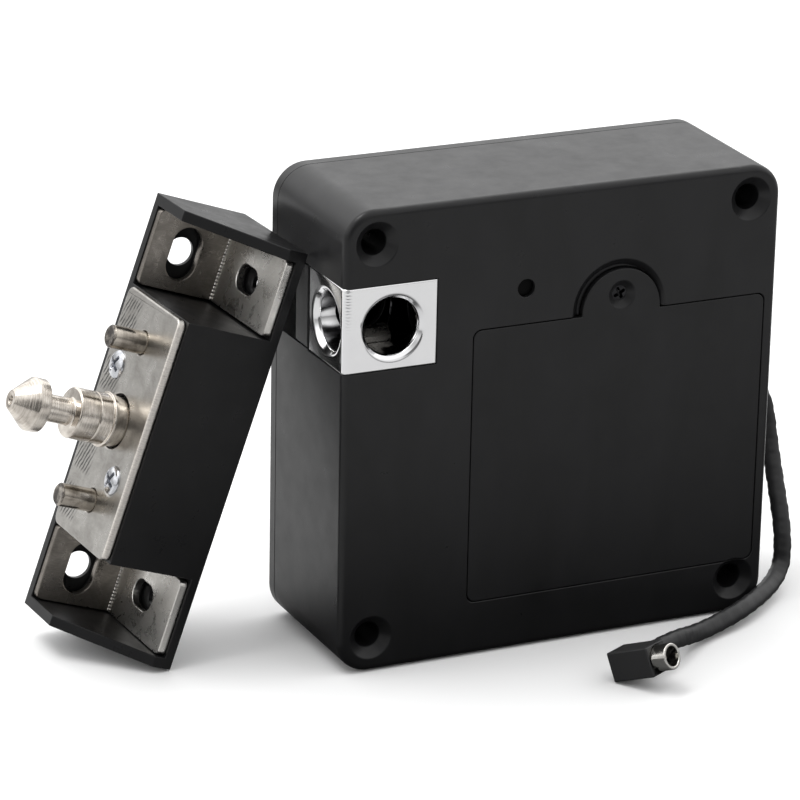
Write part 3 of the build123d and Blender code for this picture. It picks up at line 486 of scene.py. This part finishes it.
def makeTipFinish(look):
    # drawn pin: lathe bands along its length; its turned end face is darker in patches, mixed in past
    # endFace
    finish, tree, shader = newFinish("ejectorNickel", 1.0)
    point = ownPoint(tree, strikeCorner, strikeAxes)
    band, cloud, tone = cloudsAndStreaks(tree, point, look)
    shade = mixColour(tree, tone, look["dark"], look["colour"])
    end = spread(tree, partsOf(tree, point)[0], *look["endFace"], 0.0, 1.0)
    endTone = mixColour(tree, spread(tree, cloud, *look["endToneSpan"], 0.0, 1.0), look["end"], look["colour"])
    joinMetal(tree, shader, look, mixColour(tree, end, shade, endTone), cloud, band)
    return finish


ejectorNickel = makeTipFinish(tipLook)
zincBlue = workedMetal("zincBlue", colour=(0.84, 0.85, 0.87), dark=(0.34, 0.35, 0.38), rough=(0.25, 0.12),
                       streak=evenStreak, streakSize=1500.0)
zincDark = workedMetal("zincDark", colour=(0.045, 0.045, 0.047), dark=(0.015, 0.015, 0.016),
                       rough=(0.32, 0.2), streak=evenStreak, streakSize=1500.0)
springSteel = workedMetal("springSteel", streak=evenStreak)
latchSteel = workedMetal("latchSteel", streak=(12.0, 1.0, 1.0))
motorSteel = workedMetal("motorSteel", streak=(1.0, 1.0, 10.0))
gearBrass = workedMetal("gearBrass", colour=(0.72, 0.52, 0.22), dark=(0.5, 0.34, 0.13))
coilCopper = workedMetal("coilCopper", colour=(0.55, 0.26, 0.12), dark=(0.36, 0.15, 0.07))
jackNickel = workedMetal("jackNickel", colour=(0.86, 0.85, 0.82), dark=(0.6, 0.58, 0.54),
                         rough=(0.22, 0.1), streak=evenStreak, streakSize=2500.0, streakHeight=0.00001)
mouldedGrey = mouldedPlastic("mouldedGrey", colour=(0.6, 0.59, 0.54), worn=(0.68, 0.67, 0.62), ior=1.45)
boardGreen = mouldedPlastic("boardGreen", colour=(0.012, 0.11, 0.05), worn=(0.02, 0.15, 0.07),
                            rough=(0.2, 0.32), ior=1.5)
cellWrap = mouldedPlastic("cellWrap", colour=(0.32, 0.33, 0.35), worn=(0.4, 0.41, 0.43),
                          rough=(0.18, 0.28), ior=1.5)
print("stage: finishes mixed")

# width and thickness in millimetres, exit and length in metres; the swell's pace is radians a millimetre
leadLook = {"width": 3.2, "thickness": 2.0, "exit": (0.04238, 0.00815, 0.036), "length": 0.0953,
            "fineness": 24, "steps": 40, "squareness": 0.85, "swell": (0.03, 0.02), "swellPace": (1.9, 4.3)}
leadRoute = [(0.04238, 0.00815, 0.036), (0.0473, 0.00815, 0.036), (0.0515, 0.00815, 0.0334),
             (0.0534, 0.00745, 0.029), (0.0531, 0.00485, 0.0228), (0.0519, -0.00035, 0.0164),
             (0.0502, -0.00675, 0.0094), (0.04885, -0.00885, 0.00235), (0.03535, -0.0206, 0.0028),
             (0.0233, -0.02505, 0.0016), (0.014283, -0.032191, 0.004744), (0.007661, -0.035712, 0.004744)]


def routePoints(route, fineness):
    # the smooth line of the lead, read from a NURBS spline that has the route as its control points
    data = bpy.data.curves.new("leadLine", "CURVE")
    data.dimensions = "3D"
    spline = data.splines.new("NURBS")
    spline.points.add(len(route) - 1)
    for knot, place in zip(spline.points, route):
        knot.co = (*place, 1.0)
    spline.order_u = 3
    spline.use_endpoint_u = True
    spline.resolution_u = fineness
    holder = linked("leadLine", data)
    mesh = bpy.data.meshes.new_from_object(holder)
    line = np.empty(len(mesh.vertices) * 3)
    mesh.vertices.foreach_get("co", line)
    bpy.data.objects.remove(holder)
    bpy.data.curves.remove(data)
    bpy.data.meshes.remove(mesh)
    return line.reshape(-1, 3)


def squared(wave, size, look):
    # half the size times the wave, its crest squared off by a power under one, in metres
    return np.sign(wave) * np.abs(wave) ** look["squareness"] * size / 2000


def makeLead(look):
    # flattened sleeve: a squared oval carried along the line, its wide way turned to the viewer, and a
    # little wider or thinner with two sines of the way travelled
    line = routePoints(leadRoute, look["fineness"])
    way = np.gradient(line, axis=0)
    way /= np.linalg.norm(way, axis=1)[:, None]
    wide = np.cross(way, np.array(viewForward))
    wide /= np.linalg.norm(wide, axis=1)[:, None]
    thin = np.cross(way, wide)
    steps = look["steps"]
    angle = np.linspace(0, 2 * np.pi, steps, endpoint=False)
    travelled = np.concatenate([[0], np.cumsum(np.linalg.norm(np.diff(line, axis=0), axis=1))]) * 1000
    (slow, quick), (slowPace, quickPace) = look["swell"], look["swellPace"]
    swell = 1 + slow * np.sin(travelled * slowPace) + quick * np.sin(travelled * quickPace + 1)
    across = squared(np.cos(angle), look["width"], look)
    through = squared(np.sin(angle), look["thickness"], look)
    points = (line[:, None] + (across[None] * swell[:, None])[..., None] * wide[:, None]
              + (through[None] * (2 - swell[:, None]))[..., None] * thin[:, None])
    rows = len(line)
    faces = gridFaces(rows, steps).tolist()
    ends = np.concatenate([points.reshape(-1, 3), line[:1], line[-1:]])
    first, last, foot = rows * steps, rows * steps + 1, (rows - 1) * steps
    faces += [[first, (i + 1) % steps, i] for i in range(steps)]
    faces += [[last, foot + i, foot + (i + 1) % steps] for i in range(steps)]
    mesh = bpy.data.meshes.new("leadSleeve")
    mesh.from_pydata(ends.tolist(), [], faces)
    mesh.polygons.foreach_set("use_smooth", np.ones(len(mesh.polygons), bool))
    piece = linked("leadSleeve", mesh)
    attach(piece, "lock_and_strike")
    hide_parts("lead")
    dress(piece, mouldedPlastic("sleeveBlack", colour=(0.018, 0.018, 0.019), worn=(0.038, 0.038, 0.039),
                                rough=(0.3, 0.45), grain=(2600.0, 2.0, 0.6), grainHeight=0.00002))
    return piece, line


leadSleeve, leadLine = makeLead(leadLook)
print("stage: lead laid")

# name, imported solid, edge round in millimetres, its segments, finish, slot
bodyLook = [("lockShell", "main_shell", 0.12, 2, shellBlack, "housing_plastic"),
            ("lockBack", "back_cover", 0.12, 2, shellBlack, "housing_plastic"),
            ("cellCover", "battery_cover", 0.14, 2, coverBlack, "housing_plastic"),
            ("catchSocket", "catch_block", 0.3, 3, catchSatin, "polished_metal")]
strikeLook = [("strikeShell", "strike_housing", 0.12, 2, strikeBlack, "housing_plastic"),
              ("strikeFace", "strike_plate", 0.3, 3, plateNickel, "plate_metal"),
              ("angle_lower", "corner_bracket_lower", 0.15, 2, bracketSteel, "bracket_steel"),
              ("angle_upper", "corner_bracket_upper", 0.15, 2, bracketSteel, "bracket_steel")]
jackLook = [("jackBlock", "jack_body", 0.18, 2, jackBlack, "jack_plastic"),
            ("jackBarrel", "jack_barrel", 0.12, 2, jackNickel, "jack_metal"),
            ("jackCore", "jack_pin", 0.05, 2, jackNickel, "jack_metal")]


def refineAll(rows):
    return [dress(refinedNode(name, node, "lock_and_strike", bevel, segments), finish)
            for name, node, bevel, segments, finish, slotName in rows]


refineAll(bodyLook)
print("stage: lock body dressed")

refineAll(strikeLook)

# millimetres in the strike's own directions; "runs" are where each edge starts and ends along it
beadLook = {"radius": 0.2, "teeth": 21, "rise": 0.4, "out": 3.1, "near": 3.2, "rows": 240, "steps": 12,
            "runs": {"lower": (2.1, 15.6), "upper": (60.2, 73.7)}}
# the sheared edge's bare steel, painted brighter than the bracket as a highlight
edgeHighlightSteel = workedMetal("edgeHighlightSteel", colour=(0.85, 0.83, 0.8), dark=(0.6, 0.57, 0.53),
                         rough=(0.35, 0.2), streak=evenStreak, streakSize=2500.0)


def makeBead(side, look):
    # the leaf's sheared inner edge: a thin rod whose radius rises and falls as saw teeth along it, with
    # the size of a sine of the way along
    start, end = look["runs"][side]
    along = np.linspace(start, end, look["rows"])
    angle = np.linspace(0, 2 * np.pi, look["steps"], endpoint=False)
    tooth = np.abs(np.sin((along - start) / (end - start) * np.pi * look["teeth"]))
    swell = look["radius"] * (1 - look["rise"] / 2 + look["rise"] * tooth)
    swell[[0, -1]] = 0.0
    out = look["out"] + swell[:, None] * np.cos(angle)[None, :]
    near = look["near"] + swell[:, None] * np.sin(angle)[None, :]
    up = np.broadcast_to(along[:, None], out.shape)
    points = strikePlace(out[..., None], near[..., None], up[..., None])
    piece = meshPiece("angleEdge_" + side, points.reshape(-1, 3), gridFaces(len(along), len(angle)),
                      "lock_and_strike")
    # painted highlight along the sheared edge
    dress(piece, edgeHighlightSteel)


for side in ("lower", "upper"):
    makeBead(side, beadLook)

# millimetres: each slot's middle in the strike's directions, its length and width, its web's hole radius
insertLook = {"ups": {"lower": 8.85, "upper": 66.95}, "thickness": 0.9, "clearance": 0.02, "flare": 1.12,
              "lip": 0.12, "steps": 96, "sharp": 40.0,
              "back": {"out": 10.6, "near": 1.3, "long": 9.4, "wide": 5.6, "hole": 2.5},
              "base": {"out": 1.1, "near": 13.0, "long": 7.4, "wide": 4.7, "hole": 1.3}}
# across the slot, along it, and into the wall
webWays = {"back": (strikeOut, strikeUp, -strikeNear), "base": (strikeUp, strikeNear, -strikeOut)}


def oval(long, wide, angle):
    # outline of a slot: a circle whose two halves are pushed apart along its long way
    r = wide / 2
    return r * np.cos(angle), r * np.sin(angle) + np.sign(np.sin(angle)) * (long - wide) / 2


def makeInsert(kind, side, look):
    # black web left in a slot: its outline ruled to a round hole, front, bore and back in one closed ring
    web = look[kind]
    first, second, inward = webWays[kind]
    middle = strikePlace(web["out"], web["near"], look["ups"][side])
    angle = np.linspace(0, 2 * np.pi, look["steps"], endpoint=False) + 0.01  # off the halves' joins
    outX, outY = oval(web["long"] - look["clearance"], web["wide"] - look["clearance"], angle)
    inX, inY = web["hole"] * np.cos(angle), web["hole"] * np.sin(angle)
    rings = [(outX, outY, 0.0), (inX * look["flare"], inY * look["flare"], 0.0), (inX, inY, look["lip"]),
             (inX, inY, look["thickness"]), (outX, outY, look["thickness"])]
    points = np.concatenate([middle + (x[:, None] * first + y[:, None] * second + d * inward) / 1000
                             for x, y, d in rings])
    piece = meshPiece(kind + "Web_" + side, points, gridFaces(len(rings), len(angle), True),
                      "lock_and_strike", look["sharp"])
    dress(piece, strikeBlack)


for side in ("lower", "upper"):
    makeInsert("back", side, insertLook)
    makeInsert("base", side, insertLook)

# millimetres: radii first, then heights out of the strike's corner, then the pin's place
pinLook = {"tip": 1.65, "head": 4.6, "neck": 2.35, "collar": 4.4, "lip": 4.8, "base": 4.35, "pip": 0.5,
           "fillet": 0.25, "neckFlare": 0.2, "groove": 0.12, "step": 0.05, "pipFloor": 38.5,
           "tipTop": 39.3, "headTop": 35.75, "headFoot": 33.8, "neckTop": 33.4, "neckFoot": 28.3,
           "collarTop": 28.05, "grooveTop": 24.4, "grooveMiddle": 24.2, "grooveFoot": 24.0,
           "lipTop": 21.7, "lipFoot": 21.0, "baseTop": 20.9, "baseFoot": 18.0, "near": 13.8, "up": 38.2,
           "cornerRound": 0.12, "steps": 128}


def makeHeadedPin(look):
    # lathe work: tip with a centre mark, cone, head, neck, collar, lip and base, from top to foot
    pip, tip, head, neck, collar = (look[key] for key in ("pip", "tip", "head", "neck", "collar"))
    fillet, step, collarTop = look["fillet"], look["step"], look["collarTop"]
    profile = [(0.0, look["pipFloor"]), (pip, look["pipFloor"] + step),
               (pip + fillet, look["tipTop"] - step), (tip, look["tipTop"]), (head, look["headTop"]),
               (head, look["headFoot"]), (neck + fillet, look["headFoot"] - step),
               (neck, look["neckTop"]), (neck, look["neckFoot"]), (neck + look["neckFlare"], collarTop),
               (collar - fillet, collarTop), (collar, collarTop - fillet), (collar, look["grooveTop"]),
               (collar - look["groove"], look["grooveMiddle"]), (collar, look["grooveFoot"]),
               (collar, look["lipTop"] + step), (look["lip"], look["lipTop"]),
               (look["lip"], look["lipFoot"]), (look["base"], look["baseTop"]),
               (look["base"], look["baseFoot"]), (0.0, look["baseFoot"])]
    piece = turnedPiece("strikePin", profile, strikePlace(0, look["near"], look["up"]), strikeOut,
                        "lock_and_strike", look["cornerRound"], look["steps"])
    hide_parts("strike_pin")
    dress(piece, pinNickel)


makeHeadedPin(pinLook)

# millimetres; "offset" is from the headed pin along the strike
ejectorLook = {"radius": 2.0, "tip": 25.3, "flange": 2.7, "flangeDepth": 1.0, "chamfer": 0.35,
               "chamferDepth": 0.3, "dish": 0.05, "dishEdge": 0.5, "offset": {"upper": 14.3, "lower": -14.3},
               "cornerRound": 0.1, "steps": 64}


def makeEjector(side, look):
    # surface of revolution: dished end, chamfer, shaft and flange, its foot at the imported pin's foot
    node = "ejector_pin_" + side
    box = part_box(node)
    up = pinLook["up"] + look["offset"][side]
    centre = (np.array(box[0]) + np.array(box[1])) / 2
    r, tip = look["radius"], look["tip"]
    lowest = 2 * float((centre - strikeCorner) @ strikeOut) * 1000 - tip
    shoulder = lowest + look["flangeDepth"]
    profile = [(0.0, tip - look["dish"]), (r - look["dishEdge"], tip - look["dish"]),
               (r - look["chamfer"], tip), (r, tip - look["chamferDepth"]), (r, shoulder),
               (look["flange"], shoulder), (look["flange"], lowest), (0.0, lowest)]
    piece = turnedPiece("ejector_" + side, profile, strikePlace(0, pinLook["near"], up), strikeOut, node,
                        look["cornerRound"], look["steps"])
    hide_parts(node)
    dress(piece, ejectorNickel)


for side in ("upper", "lower"):
    makeEjector(side, ejectorLook)

# millimetres; the slot's half width is "slot" times the mouth less the narrowing along the arm
screwLook = {"radius": 2.5, "dome": 0.8, "domeCurve": 2.6, "recess": 1.15, "arm": 1.75, "slot": 0.36,
             "mouth": 1.25, "narrowing": 0.35, "slotEdge": 0.14, "armEdge": 0.25, "middle": 1.15,
             "fall": 0.4, "skirt": 0.4, "rows": 44, "steps": 96, "sharp": 30.0}


def crossHead(name, centre, axis, along, look):
    # a dome, high by the root of one less a power of the radius, over a round rim; the cross is cut where
    # the smaller of |x| and |y| is under the slot's half width
    axis = np.asarray(axis, float) / np.linalg.norm(axis)
    first = np.asarray(along, float) - axis * (np.asarray(along, float) @ axis)
    first /= np.linalg.norm(first)
    second = np.cross(axis, first)
    radius, arm = look["radius"], look["arm"]
    r = np.linspace(0, 1, look["rows"])[:, None] * radius
    angle = np.linspace(0, 2 * np.pi, look["steps"], endpoint=False)[None, :]
    x, y = r * np.cos(angle), r * np.sin(angle)
    height = look["dome"] * np.sqrt(np.clip(1 - (r / radius) ** look["domeCurve"], 0, 1)) + 0 * angle
    armWidth = look["slot"] * (look["mouth"] - look["narrowing"] * r / arm)
    inCross = np.clip((armWidth - np.minimum(np.abs(x), np.abs(y))) / look["slotEdge"], 0, 1)
    inReach = np.clip((arm - r) / look["armEdge"], 0, 1)
    floor = look["middle"] - look["fall"] * np.clip(r / arm, 0, 1)
    height = height - look["recess"] * inCross * inReach * floor
    points = (np.asarray(centre) + (x[..., None] * first + y[..., None] * second
                                    + height[..., None] * axis) / 1000).reshape(-1, 3)
    skirt = points[-look["steps"]:] - axis * look["skirt"] / 1000
    return meshPiece(name, np.concatenate([points, skirt]), gridFaces(look["rows"] + 1, look["steps"]),
                     "lock_and_strike", look["sharp"])


# millimetres in the strike's directions: near and up of each screw, and how far out their rims lie
plateScrews = {"upper": (7.9, 46.7), "lower": (19.0, 29.3)}
screwSeat = 18.92
crossTurn = 0.6  # towards the viewer for each part up
for side, (near, up) in plateScrews.items():
    head = crossHead("plateScrew_" + side, strikePlace(screwSeat, near, up), strikeOut,
                     strikeUp + crossTurn * strikeNear, screwLook)
    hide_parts("plate_screw_" + side)
    dress(head, zincBlue)
# "centre" in metres, the rest in millimetres
coverScrewLook = dict(screwLook, radius=1.62, dome=0.25, recess=0.75, arm=1.15, slot=0.3,
                      centre=(0.01085, -0.0139, 0.0624), along=(1, 0, 0.5))
coverScrew = crossHead("coverScrew", coverScrewLook["centre"], (0, -1, 0), coverScrewLook["along"],
                       coverScrewLook)
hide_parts("battery_cover_screw")
dress(coverScrew, zincDark)
print("stage: strike dressed")


def makeSpring(name, node, body, axis):
    # the imported coil as a refined copy with its own mesh; its end furthest back along the axis is found,
    # but nothing is shortened
    piece = dress(refinedNode(name, node, body, 0), springSteel)
    points = np.empty(len(piece.data.vertices) * 3)
    piece.data.vertices.foreach_get("co", points)
    points = points.reshape(-1, 3)
    reach = points @ np.asarray(axis)
    anchor = points[reach.argmin()]
    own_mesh(piece)


for side in ("upper", "lower"):
    makeSpring("ejectorCoil_" + side, "ejector_spring_" + side, "lock_and_strike",
               strikeOut)
makeSpring("latchCoil", "latch_spring", "latch_carriage", (0.0, 0.0, 1.0))
print("stage: springs wound")

refineAll(jackLook)

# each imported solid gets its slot's finish, under any piece that replaces it
slotFinish = {"housing_plastic": shellBlack, "zinc_steel": zincDark, "latch_steel": latchSteel,
              "mechanism_plastic": mouldedGrey, "spring_steel": springSteel, "gear_brass": gearBrass,
              "motor_steel": motorSteel, "board_laminate": boardGreen, "chip_plastic": chipBlack,
              "button_plastic": buttonBlack, "antenna_copper": coilCopper, "soft_rubber": rubberBlack,
              "sleeve_plastic": rubberBlack, "jack_plastic": jackBlack, "jack_metal": jackNickel,
              "plate_metal": plateNickel, "pin_metal": pinNickel, "cell_wrap": cellWrap,
              "bracket_steel": bracketSteel, "polished_metal": catchSatin}
for subpart in frame["record"]["subparts"]:
    paintNode(subpart["node"], slotFinish[subpart["material_slot"]])
print("stage: solids painted")

# levels of white for sky and floor; each zone is where its change starts and ends: height, viewer and
# eye zones are parts of the look's direction, the floor's zones metres; lamp in watts, its sizes in metres
# the floor's reflected levels are painted shade: darkest at the lock's front foot, darker in front than
# behind
studioLook = {"horizon": 0.5, "zenith": 1.65, "viewerSide": 0.55, "eyeDark": 0.2, "floor": 0.93,
              "floorFootShadow": 0.08, "floorFront": 0.52, "floorBack": 0.72, "floorRough": 0.9,
              "floorSize": 3.0, "floorDrop": 0.0002, "heightZone": (0.0, 0.4), "viewerZone": (-0.9, 0.3),
              "eyeZone": (0.82, 0.95), "footZoneY": (-0.115, -0.03), "footZoneX": (-0.075, -0.045),
              "backZone": (0.0, 0.03), "lamp": 3.0, "lampSize": (0.5, 0.35),
              "lampPlace": (-0.35, 0.1, 0.95), "lampAim": (0, 0, 0.03)}


def mixLevel(tree, factor, a, b):
    return addNode(tree, "Mix", (), {0: factor, 2: a, 3: b}).outputs[0]


def seenByEye(tree):
    return addNode(tree, "LightPath").outputs["Is Camera Ray"]


def makeSky(look):
    # white to the eye; in reflections the level is the height's times the viewer side's times the eye's
    world = bpy.data.worlds.new("studioSky")
    bpy.context.scene.world = world
    world.use_nodes = True
    tree = world.node_tree
    sky = tree.nodes["Background"]
    way = addNode(tree, "TexCoord").outputs["Generated"]
    across, up = partsOf(tree, way)[1:]
    height = spread(tree, up, *look["heightZone"], look["horizon"], look["zenith"], True)
    front = spread(tree, across, *look["viewerZone"], look["viewerSide"], 1.0, True)
    toEye = addNode(tree, "VectorMath", {"operation": "DOT_PRODUCT"}, {0: way, 1: tuple(-viewForward)})
    dark = spread(tree, toEye.outputs["Value"], *look["eyeZone"], 1.0, look["eyeDark"], True)
    level = mixLevel(tree, seenByEye(tree), productOf(tree, front, dark, height), 1.0)
    sky.inputs["Color"].default_value = (1.0, 1.0, 1.0, 1.0)
    tree.links.new(level, sky.inputs["Strength"])
    bpy.context.scene.view_settings.view_transform = "Standard"
    bpy.context.scene.view_settings.look = "None"


def makeFloor(look):
    # pale to the eye; in reflections it carries painted shade: a painted shadow at the lock's front foot,
    # darker in front of the lock and lighter behind it
    wide, low = look["floorSize"], -look["floorDrop"]
    mesh = bpy.data.meshes.new("studioFloor")
    mesh.from_pydata([(-wide, -wide, low), (wide, -wide, low), (wide, wide, low), (-wide, wide, low)], [],
                     [(0, 1, 2, 3)])
    ground = linked("studioFloor", mesh)
    finish, tree, shader = newFinish("floorPale")
    x, y = partsOf(tree, objectPoint(tree))[:2]
    # painted shadow at the lock's front foot, seen only in reflections
    foot = productOf(tree, ramp(tree, y, *look["footZoneY"]), ramp(tree, x, *look["footZoneX"]))
    ahead = spread(tree, foot, 0.0, 1.0, look["floorFront"], look["floorFootShadow"])
    shaded = mixLevel(tree, ramp(tree, y, *look["backZone"]), ahead, look["floorBack"])
    tone = mixLevel(tree, seenByEye(tree), shaded, look["floor"])
    colour = addNode(tree, "CombineColor", (), {0: tone, 1: tone, 2: tone}).outputs[0]
    tree.links.new(colour, shader.inputs["Base Color"])
    shader.inputs["Roughness"].default_value = look["floorRough"]
    shader.inputs["Specular IOR Level"].default_value = 0.0
    mesh.materials.append(finish)


def makeLamp(look):
    data = bpy.data.lights.new("softLamp", "AREA")
    data.shape = "RECTANGLE"
    data.size, data.size_y = look["lampSize"]
    data.energy = look["lamp"]
    lamp = linked("softLamp", data)
    lamp.location = look["lampPlace"]
    aim = Vector(look["lampAim"]) - Vector(lamp.location)
    lamp.rotation_euler = aim.to_track_quat("-Z", "Y").to_euler()


makeSky(studioLook)
makeFloor(studioLook)
makeLamp(studioLook)
print("stage: studio set")
